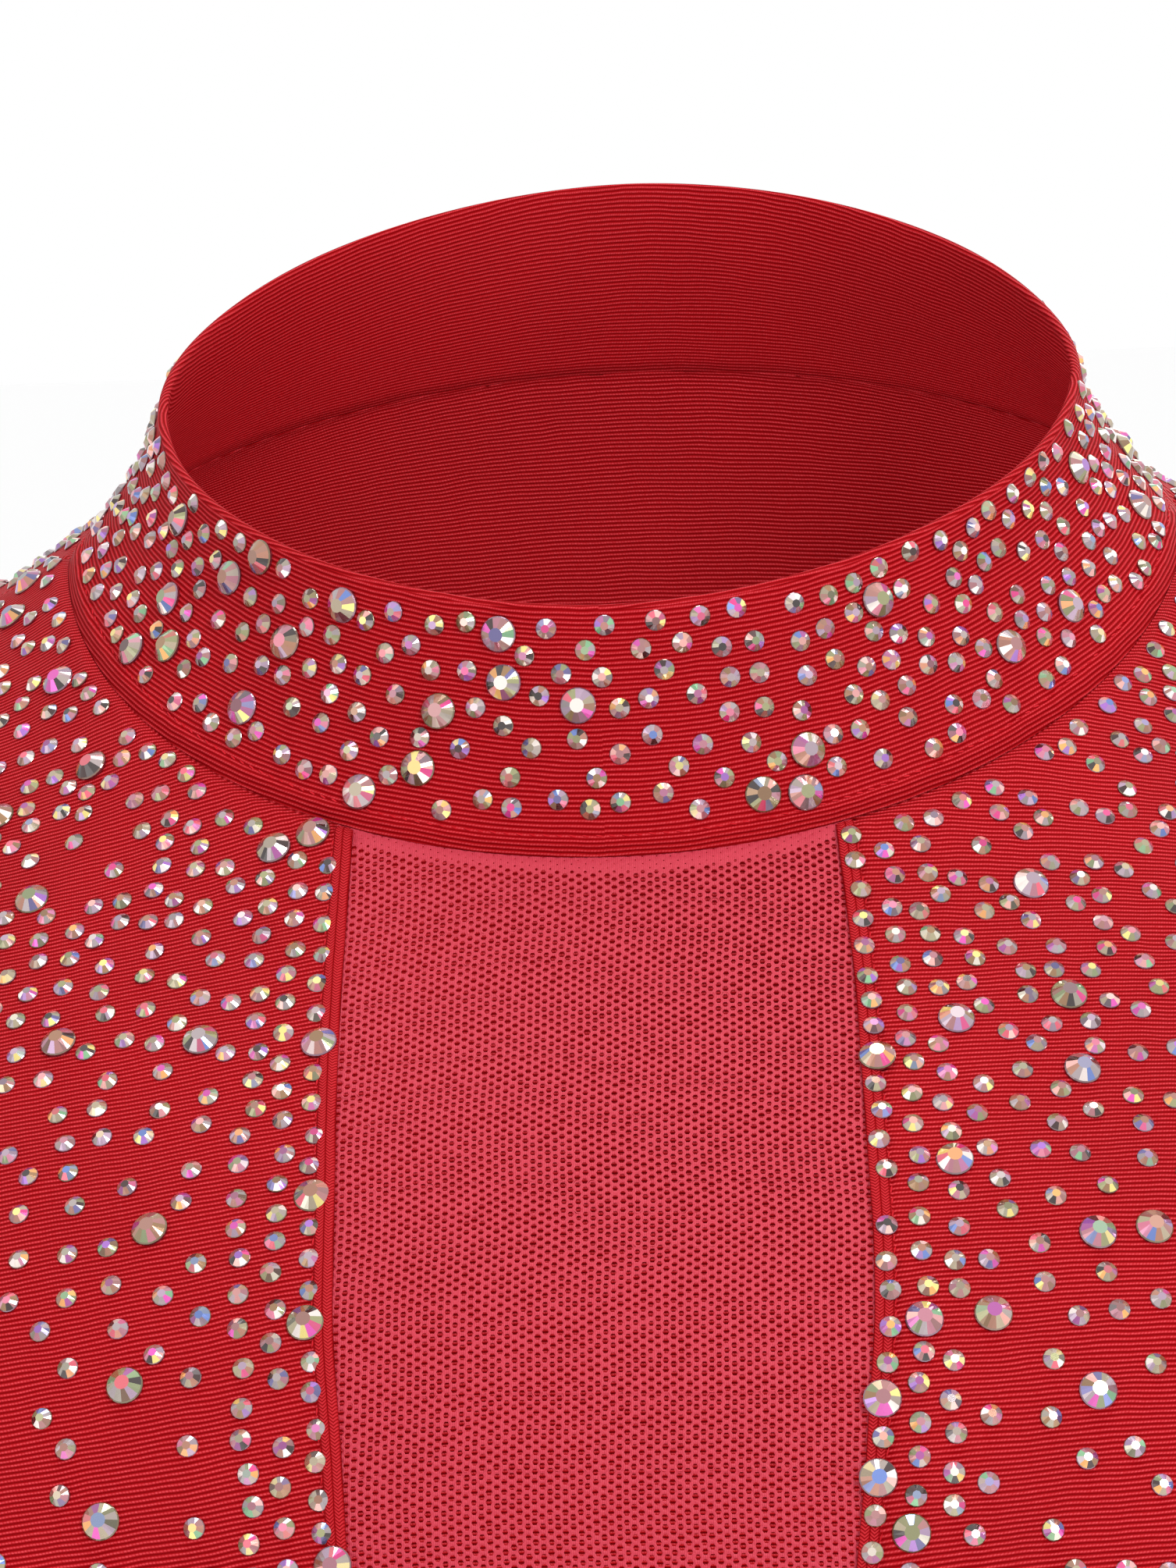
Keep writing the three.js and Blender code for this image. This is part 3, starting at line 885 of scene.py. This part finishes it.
def makeNet():
    plan = netPlan
    xs, lengths, table = netStationTable()
    a, b = plan["columnPitch"], plan["pitch"]
    columns = np.arange(-44, 45)
    rowsDown = np.arange(int(-10 / b), int(lengths[-1] / b))
    i, j = gridPairs(columns, rowsDown)
    centre = np.stack([i * a, (j + 0.5 * (i % 2)) * b], 1)
    station = lookUp(table, xs, lengths, centre[:, 0], centre[:, 1])
    s = np.clip(station, 0, cut["netEnd"])
    half = netHalf(s) + plan["under"]
    behind = -plan["behindCollar"] / plan["stationLength"]
    kept = (np.abs(centre[:, 0] - netMiddle(s)) < half) & (station > behind) & (station < cut["netEnd"] + 0.12)
    centre, station = centre[kept], station[kept]
    shortX, longX = (a * a - b * b / 4) / (2 * a), (a * a + b * b / 4) / (2 * a)
    corners = np.array([
        (longX, 0), (shortX, b / 2), (-shortX, b / 2), (-longX, 0), (-shortX, -b / 2), (shortX, -b / 2)])
    turn = np.arange(6) * math.pi / 3
    hole = np.stack([plan["holeAcross"] * np.cos(turn), plan["holeDown"] * np.sin(turn)], 1)
    cornerPlaces = (centre[:, None, :] + corners[None]).reshape(-1, 2)
    keys = np.round(cornerPlaces * 50).astype(np.int64)
    _, first, index = np.unique(keys[:, 0] * 100003 + keys[:, 1], return_index=True, return_inverse=True)
    lattice = cornerPlaces[first]
    lattice = lattice + rng.normal(0, plan["knotStray"], lattice.shape)
    below = np.clip(station, 0, None) * plan["stationLength"]
    near = smoothStep(plan["denseFrom"], plan["denseTo"], below)
    size = (0.25 + 0.75 * near) * rng.normal(1, plan["sizeStray"], len(centre))
    stretch = rng.normal(0, plan["holeStray"], (len(centre), 1, 2))
    holePlaces = (centre[:, None, :] + hole[None] * size[:, None, None] + stretch).reshape(-1, 2)
    places = np.concatenate([lattice, holePlaces])
    warp = np.stack([0.16 * np.sin(places[:, 1] / 9.0 + 1.3) + 0.1 * np.sin(places[:, 1] / 3.7),
                     0.22 * np.sin(places[:, 0] / 8.0 + 0.4)], 1)
    places = places + warp
    depth = np.concatenate([np.full(len(lattice), plan["ridge"]), np.zeros(len(holePlaces))]) - plan["sink"]
    points = netPoint(places[:, 0], lookUp(table, xs, lengths, places[:, 0], places[:, 1]), depth)
    cells = len(centre)
    outerIndex = index.reshape(cells, 6)
    innerIndex = len(lattice) + np.arange(cells * 6).reshape(cells, 6)
    following = np.roll(np.arange(6), -1)
    faces = np.stack([outerIndex, innerIndex, innerIndex[:, following], outerIndex[:, following]], -1)
    faces = faces.reshape(-1, 4)
    piece = makeMesh("netCentre", points, faces, places[faces])
    return finishPiece(piece, netMaterial, ("net_centre",)), cells


netCentre, netCells = makeNet()
print("net ready,", netCells, "holes")

# Glued stones

stonePlan = dict(
    small=2.6, large=4.45, largeShare=0.12, table=0.40, crown=0.32, girdle=0.07, sink=0.05, tilt=2.5,
    cell=5.0, fromNeck=1.9, fromNet=1.3, fromOpening=10,
    # stones to a square millimetre by distance from the neck seam
    frontDistances=(0, 18, 32, 50, 72, 105, 145, 190, 235),
    frontDensity=(0.066, 0.064, 0.057, 0.042, 0.028, 0.018, 0.010, 0.004, 0),
    backDistances=(0, 16, 30, 50, 75), backDensity=(0.058, 0.048, 0.030, 0.012, 0),
    bandDistances=(0, 11, 15, 22), bandDensity=(0.064, 0.060, 0.034, 0), bandFades=(120, 230),
    # even rows beside the net: on the left the first lies on the hem, on the right just behind it
    edgeRow={1: (1.35, 2.1), -1: (2.4, 3.3)}, edgeRows=3, edgeRowStep=4.3, edgeRowGap=(3.6, 4.8),
    collarDensity=(0.050, 0.070), collarHeight=31.0, collarClear=(4.3, 2.2),
)
# Tints of coated crystal, with how often each comes; white is a painted glint, near-black a painted dark
# reflection
stoneTintsAndGlints = (
    ((0.36, 0.33, 0.36), 4.6), ((0.40, 0.36, 0.26), 4.0), ((0.30, 0.33, 0.17), 2.8),
    ((0.44, 0.34, 0.48), 2.8), ((1.00, 0.99, 0.97), 2.4), ((0.95, 0.86, 0.28), 1.7),
    ((0.22, 0.50, 0.28), 1.3), ((0.74, 0.22, 0.36), 1.5), ((0.70, 0.09, 0.50), 1.7),
    ((0.14, 0.24, 0.62), 1.6), ((0.36, 0.16, 0.62), 1.8), ((0.05, 0.04, 0.04), 2.8),
)
# Some facets get a painted reflection of the red cloth, and all are warmed
# The girdle is painted darker as shade round the rim, the foot dark red as a painted contact shadow
facetLook = dict(
    shade=(0.62, 1.0), blend=(0.1, 0.6), clothReflectionShare=0.42, mirror=(1.0, 0.56, 0.54),
    warm=(1.08, 0.97, 0.92), girdle=(0.5, 0.34, 0.34), foot=(0.16, 0.02, 0.03),
)


# One flatback stone, a unit wide: a small flat table, long facets down to the girdle and a short wall.
# Corner k of a ring stands at radius * (cos, sin)(2 pi k / count), at the ring's height.
def stoneShape(facets):
    plan = stonePlan
    rings = ((facets, plan["table"] / 2, plan["crown"]), (2 * facets, 0.47, plan["girdle"] * 1.5),
             (2 * facets, 0.5, plan["girdle"]), (2 * facets, 0.5, 0.0))
    points = []
    for count, radius, height in rings:
        a = np.arange(count) * 2 * math.pi / count
        points.append(np.stack([radius * np.cos(a), radius * np.sin(a), np.full(count, height)], 1))
    k, g = np.arange(facets), 2 * facets
    one = facets  # where the first girdle ring starts
    after = (k + 1) % facets
    low, mid, high = one + 2 * k, one + 2 * k + 1, one + (2 * k + 2) % g
    fan = np.arange(1, facets - 1)
    parts = [
        (np.stack([fan * 0, fan, fan + 1], 1), fan * 0),
        (np.stack([k, low, mid], 1), 1 + k), (np.stack([k, mid, after], 1), 1 + k),
        (np.stack([after, mid, high], 1), 1 + k),
    ]
    m = np.arange(g)
    n = (m + 1) % g
    for ring, tint in ((one, facets + 1), (one + g, facets + 2)):
        parts.append((np.stack([ring + m, ring + g + m, ring + g + n], 1), m * 0 + tint))
        parts.append((np.stack([ring + m, ring + g + n, ring + n], 1), m * 0 + tint))
    return np.concatenate(points), np.concatenate([p[0] for p in parts]), np.concatenate([p[1] for p in parts])


# All the stones of a piece in one mesh, each turned and tipped a little by chance
def stonePiece(name, places, normals, sizes):
    tints = np.array([t for t, _ in stoneTintsAndGlints])
    weights = np.array([w for _, w in stoneTintsAndGlints])
    allPoints, allFaces, allColours, used = [], [], [], 0
    for facets, chosen in ((8, sizes < 3), (12, sizes >= 3)):
        shape, tris, facetOf = stoneShape(facets)
        spot, up, size = places[chosen], normals[chosen], sizes[chosen]
        count = len(spot)
        lean = unit(up + rng.normal(0, math.radians(stonePlan["tilt"]), up.shape))
        helper = np.where(np.abs(lean[:, 2:3]) < 0.8, np.array([[0, 0, 1.0]]), np.array([[1.0, 0, 0]]))
        u = unit(np.cross(helper, lean))
        v = np.cross(lean, u)
        turn = rng.uniform(0, 2 * math.pi, count)[:, None]
        x = shape[None, :, 0] * np.cos(turn) - shape[None, :, 1] * np.sin(turn)
        y = shape[None, :, 0] * np.sin(turn) + shape[None, :, 1] * np.cos(turn)
        local = np.stack([x, y, np.repeat(shape[None, :, 2], count, 0)], -1) * size[:, None, None]
        base = (spot - lean * stonePlan["sink"])[:, None, :]
        points = base + local[..., :1] * u[:, None] + local[..., 1:2] * v[:, None]
        points = points + local[..., 2:] * lean[:, None]
        look, each = facetLook, (count, facets + 3, 1)
        picks = rng.choice(len(tints), size=each[:2], p=weights / weights.sum())
        colours = tints[picks] * rng.uniform(*look["shade"], each)
        body = tints[rng.choice(4, size=count)]
        share = rng.uniform(*look["blend"], each)
        colours = np.where(rng.random(each) < 0.5, colours * (1 - share) + body[:, None] * share, colours)
        # painted reflection of the red cloth on some facets
        colours = np.where(rng.random(each) < look["clothReflectionShare"], colours * look["mirror"], colours)
        colours = np.minimum(colours * look["warm"], 1)
        # painted shade on the girdle and a painted contact shadow on the foot
        colours[:, facets + 1] = body * look["girdle"]
        colours[:, facets + 2] = look["foot"]
        allPoints.append(points.reshape(-1, 3))
        allFaces.append((tris[None] + used + len(shape) * np.arange(count)[:, None, None]).reshape(-1, 3))
        allColours.append(colours[:, facetOf].reshape(-1, 3))
        used += count * len(shape)
    piece = makeMesh(name, np.concatenate(allPoints), np.concatenate(allFaces), smooth=False)
    colours = np.concatenate(allColours)
    colours = np.concatenate([colours, np.ones((len(colours), 1))], 1)
    layer = piece.data.color_attributes.new("facetTintAndPaintedLight", "FLOAT_COLOR", "CORNER")
    layer.data.foreach_set("color", np.repeat(colours, 3, axis=0).astype(np.float32).ravel())
    return finishPiece(piece, stoneMaterial)


# Throws darts in a seeded order and keeps those that lie far enough from all kept before
def keepSpaced(points, gap, sizes):
    kept, home = [], {}  # home lists the stones kept in each cell
    steps = list(itertools.product((-1, 0, 1), repeat=3))
    cells = [tuple(p) for p in np.floor(points / stonePlan["cell"]).astype(int)]
    for n, (x, y, z) in enumerate(cells):
        near = np.array([m for dx, dy, dz in steps for m in home.get((x + dx, y + dy, z + dz), ())], int)
        d = points[near] - points[n]
        reach = np.maximum((sizes[near] + sizes[n]) / 2 + 0.25, (gap[near] + gap[n]) / 2)
        if ((d * d).sum(1) >= reach * reach).all():
            kept.append(n)
            home.setdefault((x, y, z), []).append(n)
    return np.array(kept)


def stoneSizes(count):
    return np.where(rng.random(count) < stonePlan["largeShare"], stonePlan["large"], stonePlan["small"])


# The gap at which darts fill up to a density. Gaps wider than a search cell are thinned by chance instead.
def gapFor(density):
    widest = stonePlan["cell"] - 0.1
    gap = np.sqrt(0.697 / np.maximum(density, 1e-6))
    keep = np.clip((widest / gap) ** 2, 0, 1)
    return np.minimum(gap, widest), keep


# Stones by a density that falls away from the neck seam and from the net. Returns their number.
def stonesOnPanel(name, isFront, side, edges, tries, lastStation, seed):
    plan = stonePlan
    draw = np.random.default_rng(seed)
    station = draw.uniform(0, lastStation, tries)
    if isFront:
        start, end = frontCentre(station, side), frontSide(station)
    else:
        start, end = backSide(station), np.full(tries, math.pi)
    angle = start + (end - start) * draw.random(tries)
    area = np.linalg.norm(outwardArea(bodyPoint, angle, station), axis=1) * np.abs(end - start)
    chosen = draw.random(tries) < area / area.max()
    angle, station = angle[chosen], station[chosen]
    if isFront:  # even rows beside the net come first
        line = np.linspace(0.12, cut["netEnd"], 1200)
        hem = bodyPoint(frontCentre(line, side), line)
        along = arcLength(hem)
        for row in reversed(range(plan["edgeRows"])):
            steps = np.cumsum(draw.uniform(*plan["edgeRowGap"], 80))
            rowStation = np.interp(steps[steps < along[-1]], along, line)
            rowAngle = frontCentre(rowStation, side)
            stray = draw.uniform(-0.4, 0.4, len(rowAngle))  # the outer rows wander
            away = draw.uniform(*plan["edgeRow"][side], len(rowAngle)) + row * (plan["edgeRowStep"] + stray)
            rowAngle = rowAngle + away / angleSpeed(rowAngle, rowStation)
            angle, station = np.concatenate([rowAngle, angle]), np.concatenate([rowStation, station])
    if not isFront:
        mirror = draw.random(len(angle)) < 0.5
        angle = np.where(mirror, 2 * math.pi - angle, angle)
    base = bodyPoint(angle, station)
    left = onLeft(base)
    fromNeck = edgeDistance(left, edges["seams"][0][0])
    fromSide = edgeDistance(left, edges["openings"][0])
    clear = (fromNeck > plan["fromNeck"]) & (fromSide > plan["fromOpening"])
    if isFront:
        fromNet = edgeDistance(left, edges["net"])
        band = np.interp(fromNet, plan["bandDistances"], plan["bandDensity"])
        band = band * np.interp(fromNeck, plan["bandFades"], (1, 0.5))
        density = np.maximum(np.interp(fromNeck, plan["frontDistances"], plan["frontDensity"]), band)
        clear = clear & (fromNet > plan["fromNet"])
    else:
        density = np.interp(fromNeck, plan["backDistances"], plan["backDensity"])
    clear = clear & (density > 0.0004)
    gap, keep = gapFor(density)
    angle, station, gap, keep = angle[clear], station[clear], gap[clear], keep[clear]
    base = base[clear]
    sizes = stoneSizes(len(angle))
    kept = keepSpaced(base, gap, sizes)
    kept = kept[draw.random(len(kept)) < keep[kept]]
    angle, station, sizes = angle[kept], station[kept], sizes[kept]
    base = bodyPoint(angle, station)
    normal, flip = outward(bodyPoint, angle, station), np.array((side, 1, 1))
    places = base + normal * panelRelief(base, side, isFront, edges)[:, None]
    stonePiece(name, places * flip, normal * flip, sizes)
    return len(places)


stoneCounts = [
    stonesOnPanel("stonesFrontLeft", True, 1, leftEdges, 60000, cut["netEnd"], 7),
    stonesOnPanel("stonesFrontRight", True, -1, rightEdges, 60000, cut["netEnd"], 8),
    stonesOnPanel("stonesBack", False, 1, backEdges, 40000, 6, 9),
]


def stonesOnCollar(seed, tries):
    draw = np.random.default_rng(seed)
    angle = draw.uniform(0, 2 * math.pi, tries)
    height, low, below = stonePlan["collarHeight"], *stonePlan["collarClear"]
    rise = draw.uniform(low, height - below, tries)
    base = collarPoint(angle, rise / height)
    sizes = stoneSizes(tries)
    # thinner in the middle than at the sides
    gap, _ = gapFor(np.interp(np.abs(np.sin(angle)), (0.35, 0.9), stonePlan["collarDensity"]))
    kept = keepSpaced(base, gap, sizes)
    angle, rise, sizes = angle[kept], rise[kept], sizes[kept]
    stonePiece("stonesCollar", base[kept], collarNormal(angle, rise / height), sizes)
    return len(kept)


stoneCounts.append(stonesOnCollar(10, 14000))
print("stones ready:", stoneCounts)

# Sewing

stitchPlan = dict(length=1.15, gap=0.5, radius=0.13, lift=0.02, slant=0.22)


# A point of the figure that lies a distance inwards from an edge line: the foot on the surface is
# found by a few steps of least squares on angle and station
def inwardsOf(angle, station, inwards, distance):
    start = bodyPoint(angle, station)
    target, h = start + inwards * distance, slopeStep
    for _ in range(4):
        p = bodyPoint(angle, station)
        u = (bodyPoint(angle + h, station) - bodyPoint(angle - h, station)) / (2 * h)
        v = (bodyPoint(angle, station + h) - bodyPoint(angle, station - h)) / (2 * h)
        uu, uv, vv = (u * u).sum(-1), (u * v).sum(-1), (v * v).sum(-1)
        gap = target - p
        du, dv = (gap * u).sum(-1), (gap * v).sum(-1)
        det = uu * vv - uv * uv
        angle = angle + (du * vv - dv * uv) / det
        station = station + (dv * uu - du * uv) / det
    return angle, station


# Stitches along a line of points: each a small bent roll of thread, thick in the middle.
# Ring r of a stitch stands at start + (end - start) * share(r), raised by sin(pi * share).
def stitchRow(line, normals):
    plan = stitchPlan
    along = arcLength(line)
    step = plan["length"] + plan["gap"]
    starts = np.arange(0.3, along[-1] - plan["length"], step)
    shares = np.array((0.0, 0.28, 0.72, 1.0))
    thick = np.array((0.25, 1.0, 1.0, 0.25)) * plan["radius"]
    high = np.array((-0.7, 0.5, 0.5, -0.7)) * plan["radius"] + plan["lift"]
    s = starts[:, None] + shares[None, :] * plan["length"]
    centre = np.stack([np.interp(s, along, line[:, k]) for k in range(3)], -1)
    up = unit(np.stack([np.interp(s, along, normals[:, k]) for k in range(3)], -1))
    heading = unit(centre[:, -1:] - centre[:, :1])
    sideways = np.cross(heading, up)
    centre = centre + up * high[None, :, None] + sideways * (plan["slant"] * (shares - 0.5))[None, :, None]
    turn = np.arange(4) * math.pi / 2
    ring = (sideways[:, :, None] * np.cos(turn)[None, None, :, None]
            + up[:, :, None] * np.sin(turn)[None, None, :, None]) * thick[None, :, None, None]
    points = (centre[:, :, None] + ring).reshape(-1, 3)
    r, c = gridPairs(np.arange(3), np.arange(4))
    one = np.stack([r * 4 + c, r * 4 + (c + 1) % 4, (r + 1) * 4 + (c + 1) % 4, (r + 1) * 4 + c], 1)
    faces = (one[None] + 16 * np.arange(len(starts))[:, None, None]).reshape(-1, 4)
    return points, faces


def stitchPiece(name, rows):
    points, faces, used = [], [], 0
    for rowPoints, rowFaces in rows:
        points.append(rowPoints)
        faces.append(rowFaces + used)
        used += len(rowPoints)
    return finishPiece(makeMesh(name, np.concatenate(points), np.concatenate(faces)), threadMaterial)


def collarStitches():
    angle = np.linspace(0, 2 * math.pi, 1400)
    share = (collarLook["ridgeHeight"] + collarLook["stitchesAbove"]) / collarLength(angle)
    normal = collarNormal(angle, share)
    line = collarPoint(angle, share) - normal * 0.12
    return [stitchRow(line, normal)]


# The lines sewn beside an edge of one half, front or back, and their copies on the other half
def hemStitches(angleOf, low, high, distances, isFront, edges, ease, toward=1, signs=(1, -1)):
    t = np.linspace(0, 1, 700)
    station = low + (high - low) * ((1 - np.cos(math.pi * t)) / 2 if ease else t ** 1.5)
    angle = angleOf(station)
    line = bodyPoint(angle, station)
    tangent = unit(np.gradient(line, axis=0))
    inwards = np.cross(tangent, outward(bodyPoint, angle, station)) * toward
    rows = []
    for distance in distances:
        a, s = inwardsOf(angle, station, inwards, distance)
        inside = (a < math.pi / 2) == isFront
        a, s = a[inside], s[inside]
        base = bodyPoint(a, s)
        normal = outward(bodyPoint, a, s)
        for sign in signs:
            relief, flip = panelRelief(base, sign, isFront, edges), np.array((sign, 1, 1))
            rows.append(stitchRow((base + normal * relief[:, None]) * flip, normal * flip))
    return rows


hemLines = (panelLook["openingHem"] - 2.2, panelLook["openingHem"] - 0.2)
sewnRows = collarStitches()
for isFront, angleOf, edges, toward in ((True, frontSide, leftEdges, 1), (False, backSide, backEdges, -1)):
    for low, high in (("shoulderEnd", "armpit"), ("legTop", "crotch")):
        sewnRows += hemStitches(angleOf, stationNames[low], stationNames[high], hemLines, isFront, edges,
                                high == "armpit", toward)
for side, edges in ((1, leftEdges), (-1, rightEdges)):
    sewnRows += hemStitches(lambda s: frontCentre(s, side), 0.05, cut["netEnd"],
                            (panelLook["hemWide"] + 0.1,), True, edges, False, -1, (side,))
stitchPiece("stitching", sewnRows)
print("sewing ready")

# Light, floor and camera

studio = dict(
    floorZ=-0.70, floorSize=30.0, floorTint=(0.985, 0.985, 0.985, 1), floorRough=0.85,
    world=(1.0, 1.0, 1.0, 1), worldStrength=1.0,
    # name, place, aimed at, width, watts
    lamps=(
        ("keyLamp", (0.85, -1.25, 0.95), (0, -0.08, -0.05), 0.6, 22),
        ("fillLamp", (-1.1, -1.0, 0.35), (0, -0.08, -0.05), 0.9, 3),
        ("topLamp", (0.05, 0.12, 1.15), (0, 0, -0.1), 0.4, 5),
        ("insideLamp", (0, -0.06, -0.30), (0, 0.3, -0.06), 0.16, 0.6),
        ("rearLamp", (0.5, 1.4, 0.6), (0, 0, -0.2), 1.0, 5),
    ),
)


def addLamp(name, place, target, width, watts):
    data = bpy.data.lights.new(name, "AREA")
    data.shape, data.size, data.energy = "SQUARE", width, watts
    lamp = addObject(name, data)
    lamp.location = place
    lamp.rotation_euler = (Vector(target) - Vector(place)).to_track_quat("-Z", "Y").to_euler()


for lampRow in studio["lamps"]:
    addLamp(*lampRow)

world = bpy.data.worlds.new("paleStudio")
world.use_nodes = True
background = world.node_tree.nodes["Background"]
background.inputs[0].default_value = studio["world"]
background.inputs[1].default_value = studio["worldStrength"]
bpy.context.scene.world = world
bpy.context.scene.view_settings.view_transform = "Standard"

half, z = studio["floorSize"] / 2, studio["floorZ"]
floorMesh = bpy.data.meshes.new("floor")
floorCorners = [(x * half, y * half, z) for x, y in ((-1, -1), (1, -1), (1, 1), (-1, 1))]
floorMesh.from_pydata(floorCorners, [], [(0, 1, 2, 3)])
floor = addObject("floor", floorMesh)
floorMaterial = bpy.data.materials.new("paleFloor")
floorMaterial.use_nodes = True
floorShader = floorMaterial.node_tree.nodes["Principled BSDF"]
floorShader.inputs["Base Color"].default_value = studio["floorTint"]
floorShader.inputs["Roughness"].default_value = studio["floorRough"]
floorMesh.materials.append(floorMaterial)
floor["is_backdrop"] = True

cameraPlan = dict(
    azimuth=3.65, elevation=7.0, roll=-2.03, target=(-0.0018, -0.0661, -0.0320), distance=0.68,
    lens=128.3, sensor=36, near=0.02, far=60,
)


def makeCamera():
    plan = cameraPlan
    az, el, roll = (math.radians(plan[k]) for k in ("azimuth", "elevation", "roll"))
    back = Vector((math.sin(az) * math.cos(el), -math.cos(az) * math.cos(el), math.sin(el)))
    right = Vector((math.cos(az), math.sin(az), 0))
    up = back.cross(right)
    turnedRight = right * math.cos(roll) + up * math.sin(roll)
    turnedUp = up * math.cos(roll) - right * math.sin(roll)
    data = bpy.data.cameras.new("camera")
    data.lens, data.sensor_width = plan["lens"], plan["sensor"]
    data.clip_start, data.clip_end = plan["near"], plan["far"]
    camera = addObject("camera", data)
    matrix = Matrix((turnedRight, turnedUp, back)).transposed().to_4x4()
    matrix.translation = Vector(plan["target"]) + back * plan["distance"]
    camera.matrix_world = matrix
    bpy.context.scene.camera = camera


makeCamera()

low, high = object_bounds()
